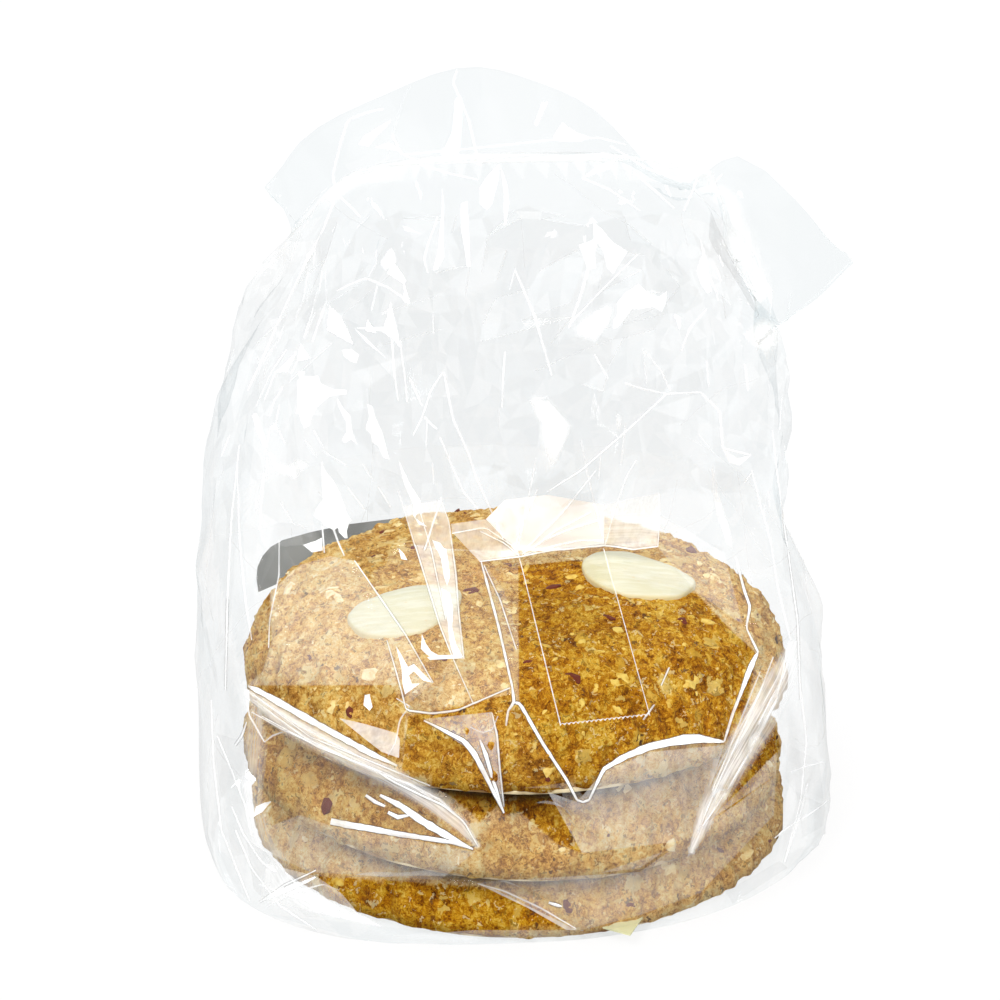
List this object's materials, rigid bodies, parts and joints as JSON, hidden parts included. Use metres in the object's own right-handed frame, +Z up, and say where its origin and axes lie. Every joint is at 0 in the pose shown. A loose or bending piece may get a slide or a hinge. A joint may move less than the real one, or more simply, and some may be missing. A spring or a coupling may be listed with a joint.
{
  "type": "bagged gingerbread stack",
  "caption": "Clear film bag drawn tight over a stack of round nutty gingerbreads, pleated down with tape, its gathered neck and folded mouth standing above.",
  "frame": {"origin": "on the floor under the middle of the stack, on the label in the flat base", "axes": "+Z up, the taped pleat faces -Y, +X to the right as seen from the front"},
  "size_m": [0.1124, 0.0995, 0.1276],
  "materials": {
    "film": "clear crinkled cellophane, sharp highlights",
    "tape": "clear adhesive tape",
    "label": "pale yellow paper, plain"
  },
  "bodies": {
    "root": {"bag": "film", "tape": "tape", "label": "label"}
  },
  "joints": []
}
